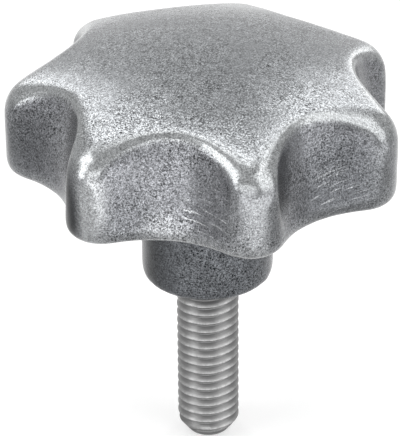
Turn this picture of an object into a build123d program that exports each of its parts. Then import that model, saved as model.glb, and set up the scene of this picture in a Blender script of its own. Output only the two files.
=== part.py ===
from build123d import *

import os
from math import cos, degrees, pi, radians, sin, sqrt, tan

# Star knob with seven lobes and a threaded stud. All sizes are in millimetres.
#
# The star head is one investment casting: a star under a low domed crown, its edges rolled over,
# cored out from below so that crown and lobes are walls, with a hub standing down in the middle.
# A steel stud is screwed into the blind hole in the hub and stands out below the hub's face.
#
# Frame: the origin is the centre of the hub's seating face, where the stud leaves it.
# +Z runs up the stud's axis to the crown, the stud points down, and one lobe lies along +X.

# Star, seen from above
KNOB_DIAMETER = 50.0  # across the noses of the lobes
LOBE_COUNT = 7
SCALLOP_DEPTH = 4.5  # how far the finger scallops reach in from the noses
LOBE_ROUNDING = 4.5  # noses of the lobes, and the edges between walls and crown

# Star, seen from the side
RIM_HEIGHT = 15.1  # lower rim of the star, above the seating face
CROWN_RISE = 16.7  # top of the crown, above the rim
CROWN_RADIUS = 57.5  # spherical crown
RIM_CHAMFER = 0.9  # outer edge of the lower rim

# Hollow underside
WALL_THICKNESS = 3.2  # at the scallops
CROWN_THICKNESS = 4.0
CORE_NOSE_RADIUS = 2.2  # corners of the hollow, in the lobes

# Hub
HUB_DIAMETER = 16.8
HUB_EDGE_CHAMFER = 0.4

# Stud, and the hole that it is screwed into
STUD_DIAMETER = 8.0  # over the thread
STUD_PROJECTION = 23.7  # below the seating face
STUD_ENGAGEMENT = 13.0  # inside the hub
STUD_POINT_DIAMETER = 5.4  # flat of the free end
STUD_POINT_LENGTH = 1.75  # taper of the free end
STUD_TAP_CHAMFER = 1.0  # at the screwed-in end
NECK_DIAMETER = 6.2  # relief between the two threads, inside the mouth of the hole
NECK_LENGTH = 2.0
THREAD_CLEARANCE = 0.03  # radial, between the stud and its hole
END_CLEARANCE = 1.5  # beyond the stud's inner end
DRILL_POINT_ANGLE = 118.0  # degrees, bottom of the hole
COUNTERSINK_DEPTH = 0.5

CROWN_TOP = RIM_HEIGHT + CROWN_RISE
LOBE_PITCH = 2 * pi / LOBE_COUNT


def scallop_circle():
    """Centre and radius of the circle that cuts the scallop beside the lobe on +X.

    It touches the nose arcs on both sides of it and reaches in to the scallop's depth.
    """
    nose = KNOB_DIAMETER / 2 - LOBE_ROUNDING
    valley = KNOB_DIAMETER / 2 - SCALLOP_DEPTH
    reach = nose * cos(LOBE_PITCH / 2)
    gap = valley**2 + nose**2 - LOBE_ROUNDING**2 - 2 * reach * valley
    radius = gap / (2 * (LOBE_ROUNDING + reach - valley))
    direction = Vector(cos(LOBE_PITCH / 2), sin(LOBE_PITCH / 2))
    return direction * (valley + radius), radius


def sharp_star(inset):
    """Star outline moved in by the inset, with its lobes still pointed, as one face."""
    centre, radius = scallop_circle()
    radius += inset
    tip = Vector(centre.X - sqrt(radius**2 - centre.Y**2), 0)
    valley = centre - centre.normalized() * radius
    scallop = ThreePointArc(tip, valley, tip.rotate(Axis.Z, degrees(LOBE_PITCH)))
    turns = [degrees(LOBE_PITCH) * index for index in range(LOBE_COUNT)]
    return Face(Wire([scallop.rotate(Axis.Z, turn) for turn in turns]))


def crown_ball(drop):
    """Ball whose top is the crown, or runs a drop below it. Its poles lie sideways."""
    return Pos(0, 0, CROWN_TOP - CROWN_RADIUS) * Rot(0, 90, 0) * Sphere(CROWN_RADIUS - drop)


def star_body():
    """Solid star with its lobes and upper edges rounded to one radius, chamfered at the rim.

    It is built pointed and too small by that radius, starting below the rim, under a crown that
    is as much too low, then grown by it and cut off at the rim.
    """
    start = RIM_HEIGHT - 2 * LOBE_ROUNDING
    prism = extrude(sharp_star(LOBE_ROUNDING), amount=CROWN_TOP - start)
    small = (Pos(0, 0, start) * prism & crown_ball(LOBE_ROUNDING)).solid()
    star = offset(small, amount=LOBE_ROUNDING, kind=Kind.ARC).solid()
    star = split(star, bisect_by=Plane.XY.offset(RIM_HEIGHT), keep=Keep.TOP).solid()
    return star.chamfer(RIM_CHAMFER, None, star.faces().sort_by(Axis.Z)[0].edges())


def hollow():
    """What the core leaves: a star with rounded corners under a roof concentric with the crown.

    Its outline is also drawn pointed and too small by its corner radius, then grown by it.
    """
    outline = sharp_star(WALL_THICKNESS + CORE_NOSE_RADIUS)
    outline = offset(outline, amount=CORE_NOSE_RADIUS, kind=Kind.ARC).face()
    prism = Pos(0, 0, RIM_HEIGHT) * extrude(outline, amount=CROWN_RISE)
    return (prism & crown_ball(CROWN_THICKNESS)).solid()


def hub():
    """Hub with a chamfered seating edge, from the seating face up into the crown's wall."""
    height = CROWN_TOP - CROWN_THICKNESS / 2
    cylinder = Pos(0, 0, height / 2) * Cylinder(HUB_DIAMETER / 2, height)
    edge = cylinder.edges().sort_by(Axis.Z)[0]
    return cylinder.solid().chamfer(HUB_EDGE_CHAMFER, None, [edge])


def stud_hole():
    """Blind hole over its thread, with a countersunk mouth and the point that the drill leaves."""
    radius = STUD_DIAMETER / 2 + THREAD_CLEARANCE
    depth = STUD_ENGAGEMENT + END_CLEARANCE
    point = radius / tan(radians(DRILL_POINT_ANGLE / 2))
    outline = Polyline(
        (0, 0, 0),
        (radius + COUNTERSINK_DEPTH, 0, 0),
        (radius, 0, COUNTERSINK_DEPTH),
        (radius, 0, depth),
        (0, 0, depth + point),
        close=True,
    )
    return revolve(Face(Wire(outline.edges())), Axis.Z)


def star_head():
    """The casting: star shell and hub in one, with the hole for the stud."""
    return (star_body() - hollow() + hub() - stud_hole()).solid()


def threaded_stud():
    """Stud over its thread: tapered free end, neck in the mouth of the hole, screwed-in end."""
    radius = STUD_DIAMETER / 2
    neck = NECK_DIAMETER / 2
    outline = Polyline(
        (0, 0, -STUD_PROJECTION),
        (STUD_POINT_DIAMETER / 2, 0, -STUD_PROJECTION),
        (radius, 0, STUD_POINT_LENGTH - STUD_PROJECTION),
        (radius, 0, 0),
        (neck, 0, 0),
        (neck, 0, NECK_LENGTH),
        (radius, 0, NECK_LENGTH),
        (radius, 0, STUD_ENGAGEMENT - STUD_TAP_CHAMFER),
        (radius - STUD_TAP_CHAMFER, 0, STUD_ENGAGEMENT),
        (0, 0, STUD_ENGAGEMENT),
        close=True,
    )
    return revolve(Face(Wire(outline.edges())), Axis.Z).solid()


os.makedirs("parts", exist_ok=True)
export_step(star_head(), "parts/star_head.step")
export_step(threaded_stud(), "parts/threaded_stud.step")
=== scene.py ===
"""Star knob with a threaded stud, dressed for rendering.

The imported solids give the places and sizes. This script lays a tumbled cast-steel head and a
rolled M8 stud over them, and sets the studio and the camera. The head's scallops lean in, to as
much as 1.5 mm behind the solid's, and the stud's thread is cut into what is a plain cylinder in
the solids. Lengths are in metres unless a name ends in _mm.
"""

import logging
from dataclasses import dataclass, field
from enum import Enum
from math import cos, pi, radians, sin, tan

import bpy
from mathutils import Matrix, Vector

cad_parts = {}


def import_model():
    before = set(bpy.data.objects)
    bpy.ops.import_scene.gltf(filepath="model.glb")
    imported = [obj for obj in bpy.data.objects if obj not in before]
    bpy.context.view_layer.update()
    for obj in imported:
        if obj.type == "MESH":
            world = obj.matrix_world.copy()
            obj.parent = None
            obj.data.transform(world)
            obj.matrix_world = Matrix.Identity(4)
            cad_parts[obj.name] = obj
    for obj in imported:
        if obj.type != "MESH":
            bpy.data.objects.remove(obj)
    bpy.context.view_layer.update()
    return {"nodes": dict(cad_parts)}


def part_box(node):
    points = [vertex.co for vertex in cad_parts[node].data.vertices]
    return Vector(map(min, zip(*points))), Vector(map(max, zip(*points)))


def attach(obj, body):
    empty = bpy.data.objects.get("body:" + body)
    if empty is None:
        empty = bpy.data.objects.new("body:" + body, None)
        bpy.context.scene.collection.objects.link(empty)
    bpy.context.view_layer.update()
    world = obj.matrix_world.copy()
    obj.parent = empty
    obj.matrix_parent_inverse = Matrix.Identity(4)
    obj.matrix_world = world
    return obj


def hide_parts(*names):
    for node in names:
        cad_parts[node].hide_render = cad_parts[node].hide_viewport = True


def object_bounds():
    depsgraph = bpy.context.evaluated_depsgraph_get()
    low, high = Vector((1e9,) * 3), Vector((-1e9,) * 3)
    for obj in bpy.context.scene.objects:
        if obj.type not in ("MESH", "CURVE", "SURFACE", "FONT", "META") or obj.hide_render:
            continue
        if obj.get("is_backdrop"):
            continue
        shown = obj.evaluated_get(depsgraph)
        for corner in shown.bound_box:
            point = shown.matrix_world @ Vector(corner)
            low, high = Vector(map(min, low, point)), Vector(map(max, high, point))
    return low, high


MM = 0.001
RIM_HEIGHT_MM = 15.1  # lower rim of the star, above the hub's seating face
MERGE_MM = 0.001  # vertices nearer to each other than this are one
LOG = logging.getLogger("star_knob")


class Solver(Enum):
    """Boolean solvers that a cut may use."""

    EXACT = "EXACT"


class Lamp(Enum):
    """Shapes of an area lamp."""

    RECTANGLE = "RECTANGLE"


def linear(colour: str) -> tuple[float, float, float, float]:
    """Turn an sRGB hex colour into the linear colour that sockets take.

    Args:
        colour: six hex digits after a hash, such as "#808080".

    Returns:
        Red, green, blue and an alpha of one.
    """
    channels = [int(colour[start:start + 2], 16) / 255 for start in (1, 3, 5)]
    values = [c / 12.92 if c <= 0.04045 else ((c + 0.055) / 1.055) ** 2.4 for c in channels]
    return values[0], values[1], values[2], 1.0


def per_mm(size_mm: float) -> float:
    """Texture scale, on Object coordinates, whose features measure about size_mm."""
    return 1 / (size_mm * MM)


def add_node(
    tree: bpy.types.NodeTree, kind: str, inputs: dict | None = None, **settings
) -> bpy.types.Node:
    """Add one node with its settings, and set or link its inputs.

    Args:
        tree: node tree that gets the node.
        kind: node type, such as "ShaderNodeTexNoise".
        inputs: input names or numbers, each with a value or the output socket that feeds it.
        **settings: properties of the node itself.

    Returns:
        The new node.
    """
    node = tree.nodes.new(kind)
    for name, value in settings.items():
        setattr(node, name, value)
    for key, value in (inputs or {}).items():
        if isinstance(value, bpy.types.NodeSocket):
            tree.links.new(value, node.inputs[key])
        else:
            node.inputs[key].default_value = value
    return node


def new_material(name: str) -> tuple[bpy.types.Material, bpy.types.NodeTree]:
    """Make an empty node material.

    Args:
        name: plain name of the finish.

    Returns:
        The material and its cleared node tree.
    """
    material = bpy.data.materials.new(name)
    material.use_nodes = True
    material.node_tree.nodes.clear()
    return material, material.node_tree


def pick(piece: bpy.types.Object) -> None:
    """Make a piece the only selected and the active object."""
    bpy.ops.object.select_all(action="DESELECT")
    piece.select_set(True)
    bpy.context.view_layer.objects.active = piece


def apply_modifier(piece: bpy.types.Object, kind: str, **settings) -> None:
    """Add a modifier, set it up and apply it.

    Args:
        piece: object that the modifier shapes.
        kind: modifier type, such as "SMOOTH".
        **settings: properties of the modifier.
    """
    pick(piece)
    modifier = piece.modifiers.new(kind.lower(), kind)
    for name, value in settings.items():
        setattr(modifier, name, value)
    bpy.ops.object.modifier_apply(modifier=modifier.name)


def merge_doubles(piece: bpy.types.Object) -> None:
    """Merge the vertices of a piece that lie on one another."""
    pick(piece)
    bpy.ops.object.mode_set(mode="EDIT")
    bpy.ops.mesh.select_all(action="SELECT")
    bpy.ops.mesh.remove_doubles(threshold=MERGE_MM * MM)
    bpy.ops.object.mode_set(mode="OBJECT")


def face_outwards(piece: bpy.types.Object) -> None:
    """Turn the faces of a closed piece outwards."""
    pick(piece)
    bpy.ops.object.mode_set(mode="EDIT")
    bpy.ops.mesh.select_all(action="SELECT")
    bpy.ops.mesh.normals_make_consistent(inside=False)
    bpy.ops.object.mode_set(mode="OBJECT")


def draw_profile(
    name: str, start: tuple[float, float, float], moves: tuple[tuple[float, float], ...]
) -> bpy.types.Object:
    """Draw the open profile of a turned or screwed piece, from one vertex on.

    Args:
        name: name of the piece.
        start: place of the first vertex.
        moves: step outwards and upwards to each next vertex.

    Returns:
        The piece, as a chain of edges.
    """
    bpy.ops.object.select_all(action="DESELECT")
    bpy.ops.mesh.primitive_plane_add(size=MM, location=start)
    piece = bpy.context.object
    piece.name = name
    bpy.ops.object.transform_apply(location=True, rotation=True, scale=True)
    bpy.ops.object.mode_set(mode="EDIT")
    bpy.ops.mesh.select_all(action="SELECT")
    bpy.ops.mesh.merge(type="CENTER")
    for outward, upward in moves:
        bpy.ops.mesh.extrude_region_move(TRANSFORM_OT_translate={"value": (outward, 0, upward)})
    bpy.ops.object.mode_set(mode="OBJECT")
    return piece


def finish_piece(
    piece: bpy.types.Object, material: bpy.types.Material, node: str
) -> None:
    """Shade a piece smooth, dress it, and let it stand for a solid on the one body.

    Args:
        piece: finished mesh object, with its place in its mesh.
        material: finish that covers it.
        node: solid that it replaces.
    """
    pick(piece)
    bpy.ops.object.shade_smooth()
    piece.data.materials.clear()
    piece.data.materials.append(material)
    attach(piece, "root")
    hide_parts(node)
    LOG.info("%s: %d faces", piece.name, len(piece.data.polygons))


@dataclass(frozen=True)
class ShadingPatch:
    """A soft-edged place of painted shade or painted highlight, darker or brighter than the rest.

    It is `tall` times as high as it is wide, and has its full share within its core.
    """

    place_mm: tuple[float, float, float]
    radius_mm: float
    colour: str
    share: float
    tall: float = 1.0
    core: float = 0.3


@dataclass(frozen=True)
class Scratches:
    """A place with fine scratches, all in one direction."""

    place_mm: tuple[float, float, float]
    radius_mm: float
    facing_degrees: float
    slope_degrees: float
    colour: str
    share: float
    length_mm: float = 4.0
    width_mm: float = 0.3
    core: float = 0.5
    waver: float = 0.4
    line_start: float = 0.6
    line_end: float = 0.68

    def across(self) -> tuple[Vector, Vector]:
        """Directions along and across the scratches, each shrunk to one pattern cell."""
        around, slope = radians(self.facing_degrees), radians(self.slope_degrees)
        level = Vector((-sin(around), cos(around), 0))
        along = level * cos(slope) + Vector((0, 0, sin(slope)))
        across = Vector((0, 0, cos(slope))) - level * sin(slope)
        return along * per_mm(self.length_mm), across * per_mm(self.width_mm)


@dataclass(frozen=True)
class TumbledCastSteel:
    """Investment-cast stainless steel, tumbled.

    The ceramic shell leaves a pebbled skin, whose facets glitter and darken from point to point.
    Tumbling in stones then wears down what the stones reach: the crown, the noses and above all
    the edges, which come out smoother. The scallops, the hub and the hollow keep more of the
    rough, grainy skin. The colours also carry painted light: the crown, where faces look up,
    is lighter than the scallop walls; the edges, noses and rim are brighter, as part wear and
    part painted highlight; the hub is darker, as painted shade under the star; and soft patches
    add painted shade and painted highlights. The stones also leave a few fine scratches.
    """

    # Base colours. The scallop walls keep the skin colour and the crown, where faces look up, the
    # lighter crown colour: painted light, the top lit and the walls in shade.
    skin: str = "#68696c"
    crown: str = "#7c7e80"
    # Part tumbling wear, part painted highlight: the rolled edges, the noses and the lower rim take
    # this brighter colour in place of the bright reflections along them.
    wear_and_highlight: str = "#8e9091"
    # Painted shade: the hub, under the star, takes this darker colour.
    hub: str = "#585a5d"
    grain_mm: float = 0.26
    fine_grain_mm: float = 0.15
    mottle_mm: float = 7.0
    grain_depth_mm: float = 0.018
    blotch_mm: float = 0.9
    blotch_share: float = 0.25
    worn_contrast: float = 0.5
    grain_swing: float = 3.9
    mottle_range: tuple[float, float] = (0.35, 0.65)
    mottle_contrast: tuple[float, float] = (0.5, 1.1)
    skin_roughness: float = 0.24
    worn_roughness: float = 0.2
    crown_facing: tuple[float, float] = (0.35, 0.95)
    edge_facing: tuple[float, float] = (0.15, 0.55)
    flat_facing: tuple[float, float] = (0.8, 0.97)
    # The noses and, below, the lower rim take the brighter colour of wear and painted highlight.
    nose_start_mm: float = 22.5
    nose_end_mm: float = 25.0
    nose_share: float = 0.45
    nose_wear: float = 2.0
    rim_share: float = 0.7
    rim_start_mm: float = 0.5
    rim_end_mm: float = 2.5
    # Height below the rim over which the hub's painted shade fades in.
    hub_fade_mm: float = 1.5
    # Painted shade and painted highlights: dark reflection strips beside the noses, bright strips
    # on them, darker places on the scallop walls and the crown, and the shade on the hub's left
    # under the star.
    painted_shading: tuple[ShadingPatch, ...] = (
        ShadingPatch((20.6, -6.0, 20.0), 9.5, "#2c2e30", 0.6),
        ShadingPatch((-19.0, -15.5, 21.0), 7.0, "#2c2e30", 0.5),
        ShadingPatch((-0.3, -21.8, 18.5), 5.0, "#3c3e40", 0.35),
        ShadingPatch((3.8, -20.0, 16.6), 4.0, "#b0b2b3", 0.18),
        ShadingPatch((10.6, -19.4, 19.0), 4.0, "#3c3e40", 0.15),
        ShadingPatch((-3.0, -14.5, 28.6), 5.0, "#3c3e40", 0.2),
        ShadingPatch((-4.0, -24.2, 21.0), 2.4, "#b0b2b3", 0.4, 3.0),
        ShadingPatch((-7.4, -23.8, 19.0), 2.9, "#1c1d1f", 0.95, 3.0),
        ShadingPatch((17.4, -17.8, 20.0), 2.2, "#242527", 0.4, 3.0),
        ShadingPatch((-7.4, -5.6, 4.5), 8.5, "#1c1d1f", 0.85, 2.0),
    )
    scratches: tuple[Scratches, ...] = (
        Scratches((8.8, -19.2, 20.2), 4.0, -76.0, -9.0, "#d0d2d3", 0.4, 5.0, 0.25),
        Scratches((20.0, -6.4, 18.2), 5.0, -30.0, 12.0, "#b8babb", 0.22, 5.0, 0.22),
        Scratches((22.4, -3.6, 19.8), 2.4, -50.0, 14.0, "#2c2d2e", 0.5, 6.0, 0.4),
    )

    def material(self) -> bpy.types.Material:
        """Build the finish from nodes."""
        material, tree = new_material("tumbled_cast_steel")
        place = add_node(tree, "ShaderNodeTexCoord").outputs["Object"]
        # The base colour carries painted light and shade: a lighter crown, brighter edges and a
        # darker hub.
        base, worn = self.tumbled(tree, place)
        # Painted shade and painted highlights over the base colour.
        for shading_patch in self.painted_shading:
            base = self.paint_shading(tree, place, base, shading_patch)
        for marks in self.scratches:
            base = self.scratched(tree, place, base, marks)

        # The grain of the skin is finer than 0.1 mm. It is drawn at 0.15 to 0.26 mm, which is as
        # fine as a picture of the whole knob can show, and some of it at 0.9 mm, as clusters.
        # Castings tumble unevenly, so the mottle lets its contrast drift over some millimetres.
        grain, fine, mottle, blotch = (
            add_node(
                tree,
                "ShaderNodeTexNoise",
                {"Vector": place, "Scale": per_mm(size_mm), "Detail": detail, "Roughness": rough},
            ).outputs[0]
            for size_mm, detail, rough in (
                (self.grain_mm, 2.0, 0.7),
                (self.fine_grain_mm, 1.0, 0.5),
                (self.mottle_mm, 3.0, 0.6),
                (self.blotch_mm, 1.0, 0.6),
            )
        )
        speck = add_node(tree, "ShaderNodeMath", {0: grain, 1: fine}, operation="ADD").outputs[0]
        contrast = add_node(
            tree,
            "ShaderNodeMapRange",
            {
                "Value": mottle,
                "From Min": self.mottle_range[0],
                "From Max": self.mottle_range[1],
                "To Min": self.mottle_contrast[0],
                "To Max": self.mottle_contrast[1],
            },
        ).outputs[0]
        # Every noise has a mean of a half. What is taken off here centres the sum on zero.
        spread = add_node(
            tree,
            "ShaderNodeMath",
            {0: blotch, 1: self.blotch_share, 2: -1 - self.blotch_share / 2},
            operation="MULTIPLY_ADD",
        ).outputs[0]
        smoothed = add_node(
            tree, "ShaderNodeMapRange", {"Value": worn, "To Min": 1.0, "To Max": self.worn_contrast}
        ).outputs[0]
        contrast = add_node(
            tree, "ShaderNodeMath", {0: contrast, 1: smoothed}, operation="MULTIPLY"
        ).outputs[0]
        centred = add_node(
            tree, "ShaderNodeMath", {0: speck, 1: spread}, operation="ADD"
        ).outputs[0]
        swing = add_node(
            tree, "ShaderNodeMath", {0: centred, 1: contrast}, operation="MULTIPLY"
        ).outputs[0]
        shade = add_node(
            tree,
            "ShaderNodeMath",
            {0: swing, 1: self.grain_swing, 2: 1.0},
            operation="MULTIPLY_ADD",
        ).outputs[0]
        speckled = add_node(
            tree, "ShaderNodeVectorMath", {0: base, "Scale": shade}, operation="SCALE"
        ).outputs[0]
        relief = add_node(
            tree, "ShaderNodeMath", {0: speck, 1: contrast}, operation="MULTIPLY"
        ).outputs[0]
        bump = add_node(
            tree,
            "ShaderNodeBump",
            {"Strength": 1.0, "Distance": self.grain_depth_mm * MM, "Height": relief},
        ).outputs[0]
        rough = add_node(
            tree,
            "ShaderNodeMapRange",
            {"Value": worn, "To Min": self.skin_roughness, "To Max": self.worn_roughness},
        ).outputs[0]
        shader = add_node(
            tree,
            "ShaderNodeBsdfPrincipled",
            {"Base Color": speckled, "Metallic": 1.0, "Roughness": rough, "Normal": bump},
        )
        add_node(tree, "ShaderNodeOutputMaterial", {"Surface": shader.outputs[0]})
        return material

    def tumbled(
        self, tree: bpy.types.NodeTree, place: bpy.types.NodeSocket
    ) -> tuple[bpy.types.NodeSocket, bpy.types.NodeSocket]:
        """Colour the walls, the crown, the edges, the noses, the rim and the hub.

        The crown's lighter colour, where faces look up, is painted light. The edges, noses and rim
        are brighter as part wear and part painted highlight. The hub's darker colour is painted
        shade.

        Args:
            tree: node tree of the finish.
            place: Object coordinates.

        Returns:
            The colour, and how far the tumbling wore the grain down, from zero to one.
        """
        normal = add_node(tree, "ShaderNodeNewGeometry").outputs["Normal"]
        facing = add_node(tree, "ShaderNodeSeparateXYZ", {0: normal}).outputs["Z"]
        height = add_node(tree, "ShaderNodeSeparateXYZ", {0: place}).outputs["Z"]
        level, turning, flat = (
            add_node(
                tree,
                "ShaderNodeMapRange",
                {"Value": facing, "From Min": start, "From Max": end},
                interpolation_type="SMOOTHSTEP",
            ).outputs[0]
            for start, end in (self.crown_facing, self.edge_facing, self.flat_facing)
        )
        edge = add_node(
            tree, "ShaderNodeMath", {0: turning, 1: flat}, operation="SUBTRACT"
        ).outputs[0]
        across = add_node(
            tree, "ShaderNodeVectorMath", {0: place, 1: (1.0, 1.0, 0.0)}, operation="MULTIPLY"
        ).outputs[0]
        radius = add_node(
            tree, "ShaderNodeVectorMath", {0: across}, operation="LENGTH"
        ).outputs["Value"]
        nose = add_node(
            tree,
            "ShaderNodeMapRange",
            {
                "Value": radius,
                "From Min": self.nose_start_mm * MM,
                "From Max": self.nose_end_mm * MM,
                "To Max": self.nose_share,
            },
        ).outputs[0]
        rim = add_node(
            tree,
            "ShaderNodeMapRange",
            {
                "Value": height,
                "From Min": (RIM_HEIGHT_MM + self.rim_start_mm) * MM,
                "From Max": (RIM_HEIGHT_MM + self.rim_end_mm) * MM,
                "To Min": self.rim_share,
                "To Max": 0.0,
            },
        ).outputs[0]
        # Painted shade on the hub under the star's rim.
        hub_shade = add_node(
            tree,
            "ShaderNodeMapRange",
            {
                "Value": height,
                "From Min": (RIM_HEIGHT_MM - self.hub_fade_mm) * MM,
                "From Max": RIM_HEIGHT_MM * MM,
                "To Min": 1.0,
                "To Max": 0.0,
            },
        ).outputs[0]
        base = linear(self.skin)
        # The mixes paint light and shade: the crown lighter where faces look up, the edges, noses
        # and rim brighter as part wear and part painted highlight, the hub darker as painted shade.
        for share, colour in (
            (level, self.crown),
            (edge, self.wear_and_highlight),
            (nose, self.wear_and_highlight),
            (rim, self.wear_and_highlight),
            (hub_shade, self.hub),
        ):
            base = add_node(
                tree, "ShaderNodeMix", {0: share, 6: base, 7: linear(colour)}, data_type="RGBA"
            ).outputs[2]
        worn = add_node(
            tree,
            "ShaderNodeMath",
            {0: nose, 1: self.nose_wear, 2: edge},
            operation="MULTIPLY_ADD",
        ).outputs[0]
        return base, worn

    @staticmethod
    def paint_shading(
        tree: bpy.types.NodeTree,
        place: bpy.types.NodeSocket,
        base: bpy.types.NodeSocket,
        shading_patch: ShadingPatch,
    ) -> bpy.types.NodeSocket:
        """Paint shade or a highlight over a soft-edged place, darker or brighter.

        Args:
            tree: node tree of the finish.
            place: Object coordinates.
            base: colour so far.
            shading_patch: place and its colour.

        Returns:
            The colour with that place shaded.
        """
        squash = Vector((1, 1, 1 / shading_patch.tall))
        squashed = add_node(
            tree, "ShaderNodeVectorMath", {0: place, 1: squash}, operation="MULTIPLY"
        ).outputs[0]
        away = add_node(
            tree,
            "ShaderNodeVectorMath",
            {0: squashed, 1: Vector(shading_patch.place_mm) * squash * MM},
            operation="DISTANCE",
        ).outputs["Value"]
        share = add_node(
            tree,
            "ShaderNodeMapRange",
            {
                "Value": away,
                "From Min": shading_patch.core * shading_patch.radius_mm * MM,
                "From Max": shading_patch.radius_mm * MM,
                "To Min": shading_patch.share,
                "To Max": 0.0,
            },
            interpolation_type="SMOOTHSTEP",
        ).outputs[0]
        return add_node(
            tree, "ShaderNodeMix", {0: share, 6: base, 7: linear(shading_patch.colour)}, data_type="RGBA"
        ).outputs[2]

    @staticmethod
    def scratched(
        tree: bpy.types.NodeTree,
        place: bpy.types.NodeSocket,
        base: bpy.types.NodeSocket,
        marks: Scratches,
    ) -> bpy.types.NodeSocket:
        """Draw fine scratches, a few tenths of a millimetre apart, over one place.

        Args:
            tree: node tree of the finish.
            place: Object coordinates.
            base: colour so far.
            marks: place, direction and colour of the scratches.

        Returns:
            The colour with the scratches in it.
        """
        along, across = marks.across()
        run = add_node(
            tree, "ShaderNodeVectorMath", {0: place, 1: along}, operation="DOT_PRODUCT"
        ).outputs["Value"]
        step = add_node(
            tree, "ShaderNodeVectorMath", {0: place, 1: across}, operation="DOT_PRODUCT"
        ).outputs["Value"]
        cell = add_node(tree, "ShaderNodeCombineXYZ", {0: run, 1: step}).outputs[0]
        streak = add_node(
            tree,
            "ShaderNodeTexNoise",
            {"Vector": cell, "Scale": 1.0, "Detail": 1.0, "Distortion": marks.waver},
        ).outputs[0]
        line = add_node(
            tree,
            "ShaderNodeMapRange",
            {"Value": streak, "From Min": marks.line_start, "From Max": marks.line_end},
        ).outputs[0]
        away = add_node(
            tree,
            "ShaderNodeVectorMath",
            {0: place, 1: Vector(marks.place_mm) * MM},
            operation="DISTANCE",
        ).outputs["Value"]
        near = add_node(
            tree,
            "ShaderNodeMapRange",
            {
                "Value": away,
                "From Min": marks.core * marks.radius_mm * MM,
                "From Max": marks.radius_mm * MM,
                "To Min": marks.share,
                "To Max": 0.0,
            },
        ).outputs[0]
        share = add_node(
            tree, "ShaderNodeMath", {0: line, 1: near}, operation="MULTIPLY"
        ).outputs[0]
        return add_node(
            tree, "ShaderNodeMix", {0: share, 6: base, 7: linear(marks.colour)}, data_type="RGBA"
        ).outputs[2]


@dataclass(frozen=True)
class RolledThreadSteel:
    """Stainless steel with a rolled thread.

    The dies press the flanks to a satin sheen and burnish the crests. The crests' lighter colour
    is part burnish and part painted highlight, for the thin bright lines of light along them. A
    film of dried rolling oil leaves dull patches on them.
    """

    # Part burnish, part painted highlight: the crests' lighter colour stands in for the thin bright
    # lines of light along them.
    crest: str = "#989898"
    flank: str = "#6a6a6a"
    root: str = "#6a6a6a"
    root_radius_mm: float = 3.25
    flank_radius_mm: float = 3.6
    crest_radius_mm: float = 3.97
    roughness: float = 0.4
    mottle_mm: float = 0.6
    mottle_range: tuple[float, float] = (0.35, 0.62)
    dull_share: float = 0.6

    def material(self) -> bpy.types.Material:
        """Build the finish from nodes."""
        material, tree = new_material("rolled_thread_steel")
        place = add_node(tree, "ShaderNodeTexCoord").outputs["Object"]
        across = add_node(
            tree, "ShaderNodeVectorMath", {0: place, 1: (1.0, 1.0, 0.0)}, operation="MULTIPLY"
        ).outputs[0]
        radius = add_node(
            tree, "ShaderNodeVectorMath", {0: across}, operation="LENGTH"
        ).outputs["Value"]
        climb, top = (
            add_node(
                tree,
                "ShaderNodeMapRange",
                {"Value": radius, "From Min": start_mm * MM, "From Max": end_mm * MM},
            ).outputs[0]
            for start_mm, end_mm in (
                (self.root_radius_mm, self.flank_radius_mm),
                (self.flank_radius_mm, self.crest_radius_mm),
            )
        )
        mottle = add_node(
            tree,
            "ShaderNodeTexNoise",
            {"Vector": place, "Scale": per_mm(self.mottle_mm), "Detail": 4.0, "Roughness": 0.7},
        ).outputs[0]
        wear = add_node(
            tree,
            "ShaderNodeMapRange",
            {
                "Value": mottle,
                "From Min": self.mottle_range[0],
                "From Max": self.mottle_range[1],
                "To Min": self.dull_share,
                "To Max": 0.0,
            },
        ).outputs[0]
        base = linear(self.root)
        # The crest colour is part burnish and part painted highlight.
        for share, colour in ((climb, self.flank), (top, self.crest), (wear, self.root)):
            base = add_node(
                tree, "ShaderNodeMix", {0: share, 6: base, 7: linear(colour)}, data_type="RGBA"
            ).outputs[2]
        shader = add_node(
            tree,
            "ShaderNodeBsdfPrincipled",
            {"Base Color": base, "Metallic": 1.0, "Roughness": self.roughness},
        )
        add_node(tree, "ShaderNodeOutputMaterial", {"Surface": shader.outputs[0]})
        return material


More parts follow.
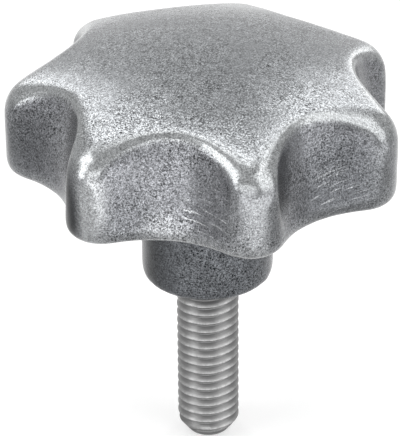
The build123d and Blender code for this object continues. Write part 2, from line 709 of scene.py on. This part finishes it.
@dataclass
class StarHead:
    """The casting: the solid's surface with leaning scallops, soft edges and an uneven skin."""

    node: bpy.types.Object
    finish: TumbledCastSteel
    grid_mm: float = 0.38
    smoothing: int = 30
    smooth_factor: float = 0.5
    lobes: int = 7
    scallop_centre_mm: float = 33.25
    scallop_radius_mm: float = 12.6
    cutter_height_mm: float = 20.0
    cutter_sides: int = 128
    lean_mm: float = 8.0
    narrowing_mm: float = 4.5
    wave_mm: float = 6.0
    wave_depth_mm: float = 0.09
    pebble_mm: float = 1.1
    pebble_depth_mm: float = 0.02
    surface_level: float = 0.62  # shade of a pattern that leaves the surface where it is

    def build(self) -> bpy.types.Object:
        """Model and dress the head.

        Returns:
            The finished piece.
        """
        piece = bpy.data.objects.new("cast_star_head", self.node.data.copy())
        bpy.context.collection.objects.link(piece)
        merge_doubles(piece)
        self.relieve_scallops(piece)
        apply_modifier(piece, "REMESH", mode="VOXEL", voxel_size=self.grid_mm * MM)
        apply_modifier(piece, "SMOOTH", factor=self.smooth_factor, iterations=self.smoothing)
        self.roughen(piece, "waves", self.wave_mm, self.wave_depth_mm)
        self.roughen(piece, "pebbles", self.pebble_mm, self.pebble_depth_mm)
        finish_piece(piece, self.finish.material(), "star_head")
        return piece

    def relieve_scallops(self, piece: bpy.types.Object) -> None:
        """Let the scallops lean in towards the crown and narrow on the way up.

        Each cutter starts at the rim, just inside the scallop's own circle. Because it narrows as
        it leans, it deepens the scallop and leaves the noses beside it most of their width.

        Args:
            piece: merged mesh of the head.
        """
        narrowing = 1 - self.narrowing_mm / self.scallop_radius_mm
        rim = Vector((0, 0, RIM_HEIGHT_MM * MM))
        cutters = []
        for index in range(self.lobes):
            around = 2 * pi * (index + 0.5) / self.lobes
            outward = Vector((cos(around), sin(around), 0))
            bpy.ops.object.select_all(action="DESELECT")
            bpy.ops.mesh.primitive_circle_add(
                vertices=self.cutter_sides,
                radius=self.scallop_radius_mm * MM,
                fill_type="NGON",
                location=outward * self.scallop_centre_mm * MM + rim,
            )
            cutter = bpy.context.object
            bpy.ops.object.mode_set(mode="EDIT")
            bpy.ops.mesh.select_all(action="SELECT")
            move = Vector((0, 0, self.cutter_height_mm * MM)) - outward * self.lean_mm * MM
            bpy.ops.mesh.extrude_region_move(TRANSFORM_OT_translate={"value": move})
            bpy.ops.transform.resize(value=(narrowing, narrowing, 1))
            bpy.ops.object.mode_set(mode="OBJECT")
            face_outwards(cutter)
            cutters.append(cutter)
        bpy.ops.object.select_all(action="DESELECT")
        for cutter in cutters:
            cutter.select_set(True)
        bpy.context.view_layer.objects.active = cutters[0]
        bpy.ops.object.join()
        bpy.ops.object.transform_apply(location=True, rotation=True, scale=True)
        cutter = bpy.context.object
        apply_modifier(
            piece, "BOOLEAN", operation="DIFFERENCE", object=cutter, solver=Solver.EXACT.value
        )
        bpy.data.objects.remove(cutter)

    def roughen(
        self, piece: bpy.types.Object, name: str, size_mm: float, depth_mm: float
    ) -> None:
        """Make the surface uneven, in soft patches that sink more than they rise.

        Args:
            piece: object that gets uneven.
            name: name of the pattern.
            size_mm: width of a patch.
            depth_mm: height of the pattern, from its lowest place to its highest.
        """
        pattern = bpy.data.textures.new(name, "CLOUDS")
        pattern.noise_scale = size_mm * MM
        pattern.noise_depth = 1
        apply_modifier(
            piece,
            "DISPLACE",
            texture=pattern,
            texture_coords="LOCAL",
            mid_level=self.surface_level,
            strength=depth_mm * MM,
        )


@dataclass
class ThreadedStud:
    """The stud, with its M8 thread of 1.25 mm pitch."""

    node: bpy.types.Object
    finish: RolledThreadSteel
    pitch_mm: float = 1.25
    crest_radius_mm: float = 3.98
    depth_share: float = 0.6134
    crest_share: float = 0.125
    thread_angle_degrees: float = 60.0
    soft_share: float = 0.3
    steps: int = 56
    blank_steps: int = 96
    blank_allowance_mm: float = 0.01
    point_diameter_mm: float = 5.4
    point_length_mm: float = 1.75
    inner_chamfer_mm: float = 1.0

    def build(self) -> bpy.types.Object:
        """Model and dress the stud.

        Returns:
            The finished piece.
        """
        low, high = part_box("threaded_stud")
        piece = self.thread(low.z, high.z)
        envelope = self.envelope(low.z, high.z)
        apply_modifier(
            piece, "BOOLEAN", operation="INTERSECT", object=envelope, solver=Solver.EXACT.value
        )
        bpy.data.objects.remove(envelope)
        finish_piece(piece, self.finish.material(), "threaded_stud")
        return piece

    def thread(self, bottom: float, top: float) -> bpy.types.Object:
        """Screw one turn's profile along the whole stud and close its ends.

        Args:
            bottom: height of the stud's free end.
            top: height of its inner end.

        Returns:
            A closed mesh that runs past both ends.
        """
        pitch = self.pitch_mm * MM
        crest = self.crest_radius_mm * MM
        root = crest - self.depth_share * pitch
        slope = tan(radians(self.thread_angle_degrees / 2))
        flank = (crest - root) * slope
        crest_flat = self.crest_share * pitch
        root_flat = pitch - 2 * flank - crest_flat
        soft = self.soft_share * root_flat
        rise = (soft, root_flat / 2 + soft * slope)
        climb = (crest - root - soft, flank - soft * slope)
        moves = (rise, climb, (0.0, crest_flat), (-climb[0], climb[1]), (-rise[0], rise[1]))
        start = bottom - 2 * pitch
        turns = int((top - start) / pitch) + 2
        piece = draw_profile("rolled_thread_stud", (root, 0, start), moves)
        apply_modifier(
            piece,
            "SCREW",
            axis="Z",
            angle=2 * pi,
            screw_offset=pitch,
            iterations=turns,
            steps=self.steps,
            render_steps=self.steps,
            use_merge_vertices=True,
            merge_threshold=MERGE_MM * MM,
        )
        merge_doubles(piece)
        for end in (start, start + (turns + 1) * pitch):
            self.close_end(piece, end)
        face_outwards(piece)
        return piece

    def close_end(self, piece: bpy.types.Object, height: float) -> None:
        """Close the open loop at one end with a fan to its middle.

        Args:
            piece: screwed mesh.
            height: height of that end.
        """
        reach = 1.5 * self.pitch_mm * MM
        pick(piece)
        bpy.ops.object.mode_set(mode="EDIT")
        bpy.ops.mesh.select_mode(type="EDGE")
        bpy.ops.mesh.select_all(action="DESELECT")
        bpy.ops.mesh.select_non_manifold(
            extend=False,
            use_wire=False,
            use_multi_face=False,
            use_non_contiguous=False,
            use_verts=False,
        )
        bpy.ops.object.mode_set(mode="OBJECT")
        mesh = piece.data
        for edge in mesh.edges:
            ends = [mesh.vertices[index] for index in edge.vertices]
            edge.select = edge.select and abs(ends[0].co.z - height) < reach
        chosen = {index for edge in mesh.edges if edge.select for index in edge.vertices}
        for vertex in mesh.vertices:
            vertex.select = vertex.index in chosen
        bpy.ops.object.mode_set(mode="EDIT")
        bpy.ops.mesh.extrude_edges_move()
        bpy.ops.mesh.merge(type="CENTER")
        bpy.ops.mesh.select_mode(type="VERT")
        bpy.ops.object.mode_set(mode="OBJECT")

    def envelope(self, bottom: float, top: float) -> bpy.types.Object:
        """Turn the blank that the thread was rolled on, a little over its crests.

        Args:
            bottom: height of the stud's free end.
            top: height of its inner end.

        Returns:
            A closed turned mesh.
        """
        radius = (self.crest_radius_mm + self.blank_allowance_mm) * MM
        point = self.point_diameter_mm / 2 * MM
        chamfer = self.inner_chamfer_mm * MM
        moves = (
            (point, 0.0),
            (radius - point, self.point_length_mm * MM),
            (0.0, top - bottom - self.point_length_mm * MM - chamfer),
            (-chamfer, chamfer),
            (chamfer - radius, 0.0),
        )
        blank = draw_profile("blank", (0, 0, bottom), moves)
        apply_modifier(
            blank,
            "SCREW",
            axis="Z",
            steps=self.blank_steps,
            render_steps=self.blank_steps,
            use_merge_vertices=True,
            merge_threshold=MERGE_MM * MM,
        )
        merge_doubles(blank)
        face_outwards(blank)
        return blank


@dataclass
class Softbox:
    """An area lamp aimed at the knob.

    Its place and size are angles in degrees, as seen from the knob. A brightness of 1 is white.
    """

    name: str
    azimuth: float
    elevation: float
    wide: float
    tall: float
    brightness: float
    distance: float = 0.8

    def build(self, target: Vector) -> None:
        """Hang the lamp at its angles from the target.

        Args:
            target: point that the lamp faces.
        """
        around, up = radians(self.azimuth), radians(self.elevation)
        offset = Vector((cos(around) * cos(up), sin(around) * cos(up), sin(up)))
        lamp = bpy.data.lights.new(self.name, "AREA")
        lamp.shape = Lamp.RECTANGLE.value
        lamp.size = 2 * self.distance * tan(radians(self.wide / 2))
        lamp.size_y = 2 * self.distance * tan(radians(self.tall / 2))
        lamp.energy = self.brightness * pi * lamp.size * lamp.size_y
        holder = bpy.data.objects.new(self.name, lamp)
        holder.location = target + offset * self.distance
        holder.rotation_euler = offset.to_track_quat("Z", "Y").to_euler()
        holder.visible_camera = False
        bpy.context.collection.objects.link(holder)


@dataclass
class ProductCamera:
    """A long lens, looking down at the knob from its front."""

    aim_above_rim_mm: float = 2.0
    angle: float = -65.35
    elevation: float = 28.05
    distance_mm: float = 319.3
    lens_mm: float = 211.6
    aside_mm: float = -0.90
    above_mm: float = -8.30
    roll: float = 0.45
    sensor_mm: float = 36.0
    nearest: float = 0.01
    farthest: float = 20.0

    def build(self) -> bpy.types.Object:
        """Place and aim the camera.

        Returns:
            The scene's camera.
        """
        around, up = radians(self.angle), radians(self.elevation)
        away = Vector((cos(around) * cos(up), sin(around) * cos(up), sin(up)))
        centre = Vector((0, 0, (RIM_HEIGHT_MM + self.aim_above_rim_mm) * MM))
        spot = centre + away * self.distance_mm * MM
        right = Vector((-sin(around), cos(around), 0))
        rise = away.cross(right)
        aim = centre + right * self.aside_mm * MM + rise * self.above_mm * MM
        forward = (aim - spot).normalized()
        side = forward.cross(Vector((0, 0, 1))).normalized()
        top = side.cross(forward)
        turn = radians(self.roll)
        x_axis = side * cos(turn) - top * sin(turn)
        y_axis = top * cos(turn) + side * sin(turn)
        lens = bpy.data.cameras.new("camera")
        lens.lens = self.lens_mm
        lens.sensor_width = self.sensor_mm
        lens.clip_start = self.nearest
        lens.clip_end = self.farthest
        camera = bpy.data.objects.new("camera", lens)
        pose = Matrix((x_axis, y_axis, -forward)).transposed().to_4x4()
        camera.matrix_world = Matrix.Translation(spot) @ pose
        bpy.context.collection.objects.link(camera)
        bpy.context.scene.camera = camera
        return camera


@dataclass
class Studio:
    """Pale floor, white surroundings and soft lamps."""

    floor_drop_mm: float = 0.2
    floor_size: float = 6.0
    floor_colour: str = "#c8c8c8"
    floor_glow: float = 0.5
    aim_height_mm: float = 15.0
    lamps: list[Softbox] = field(default_factory=list)

    def build(self) -> None:
        """Lay the floor, hang the lamps and set the surroundings."""
        low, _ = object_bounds()
        self.floor(Vector(low).z - self.floor_drop_mm * MM)
        self.world()
        target = Vector((0, 0, self.aim_height_mm * MM))
        for lamp in self.lamps:
            lamp.build(target)
        bpy.context.scene.view_settings.view_transform = "Standard"

    def floor(self, height: float) -> None:
        """Lay the floor.

        Args:
            height: height of its surface.
        """
        bpy.ops.object.select_all(action="DESELECT")
        bpy.ops.mesh.primitive_plane_add(size=self.floor_size, location=(0, 0, height))
        plane = bpy.context.object
        plane.name = "floor"
        bpy.ops.object.transform_apply(location=True, rotation=True, scale=True)
        material, tree = new_material("pale_paper")
        matte = add_node(tree, "ShaderNodeBsdfDiffuse", {"Color": linear(self.floor_colour)})
        glow = add_node(
            tree, "ShaderNodeEmission", {"Color": linear("#ffffff"), "Strength": self.floor_glow}
        )
        both = add_node(tree, "ShaderNodeAddShader", {0: matte.outputs[0], 1: glow.outputs[0]})
        seen = add_node(
            tree,
            "ShaderNodeMixShader",
            {0: self.seen(tree), 1: matte.outputs[0], 2: both.outputs[0]},
        )
        add_node(tree, "ShaderNodeOutputMaterial", {"Surface": seen.outputs[0]})
        plane.data.materials.append(material)
        plane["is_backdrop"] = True

    @staticmethod
    def seen(tree: bpy.types.NodeTree) -> bpy.types.NodeSocket:
        """One for what the camera, a gloss or a glass looks at, else zero."""
        path = add_node(tree, "ShaderNodeLightPath").outputs
        gloss = add_node(
            tree,
            "ShaderNodeMath",
            {0: path["Is Camera Ray"], 1: path["Is Glossy Ray"]},
            operation="MAXIMUM",
        ).outputs[0]
        return add_node(
            tree, "ShaderNodeMath", {0: gloss, 1: path["Is Transmission Ray"]}, operation="MAXIMUM"
        ).outputs[0]

    def world(self) -> None:
        """White where it is looked at, dim grey as a source of light."""
        world = bpy.data.worlds.new("studio")
        bpy.context.scene.world = world
        world.use_nodes = True
        tree = world.node_tree
        tree.nodes.clear()
        dim = add_node(tree, "ShaderNodeBackground", {"Color": linear("#808080")})
        white = add_node(tree, "ShaderNodeBackground", {"Color": linear("#ffffff")})
        seen = add_node(
            tree,
            "ShaderNodeMixShader",
            {0: self.seen(tree), 1: dim.outputs[0], 2: white.outputs[0]},
        )
        add_node(tree, "ShaderNodeOutputWorld", {"Surface": seen.outputs[0]})


def studio_lamps(view_angle: float) -> list[Softbox]:
    """List the lamps, by their angles from the camera's side.

    Args:
        view_angle: angle of the camera round the knob, in degrees.

    Returns:
        The softboxes overhead, behind, at the sides and in front.
    """
    # Azimuth, elevation, width, height, brightness and, where it isn't the usual one, distance.
    return [
        Softbox("top", view_angle + 180, 86, 30, 20, 2.0),
        Softbox("over_back", view_angle + 180, 74, 32, 12, 1.9),
        Softbox("high_left", view_angle - 130, 60, 36, 16, 1.1),
        Softbox("high_right", view_angle + 118, 58, 36, 18, 1.8),
        Softbox("back_left", view_angle - 151, 36, 12, 48, 2.8),
        Softbox("back_right", view_angle + 151, 30, 13, 48, 2.5),
        Softbox("back", view_angle + 180, 33, 34, 46, 0.15),
        Softbox("back_card", view_angle + 180, -3, 50, 14, 0.3, 0.25),
        Softbox("left", view_angle - 84, 44, 18, 30, 3.2),
        Softbox("front_left", view_angle - 62, 25, 22, 64, 2.8),
        Softbox("front", view_angle - 10, 8, 60, 36, 1.6),
        Softbox("front_right", view_angle + 60, 29, 46, 62, 1.8),
        Softbox("front_card", view_angle + 20, -12.4, 120, 19, 1.9, 0.1),
    ]


def main() -> None:
    """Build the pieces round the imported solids, then the studio."""
    logging.basicConfig(level=logging.INFO, format="%(name)s: %(message)s")
    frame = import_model()
    camera = ProductCamera()
    camera.build()
    nodes = frame["nodes"]
    StarHead(nodes["star_head"], TumbledCastSteel()).build()
    ThreadedStud(nodes["threaded_stud"], RolledThreadSteel()).build()
    Studio(lamps=studio_lamps(camera.angle)).build()


if __name__ == "__main__":
    main()
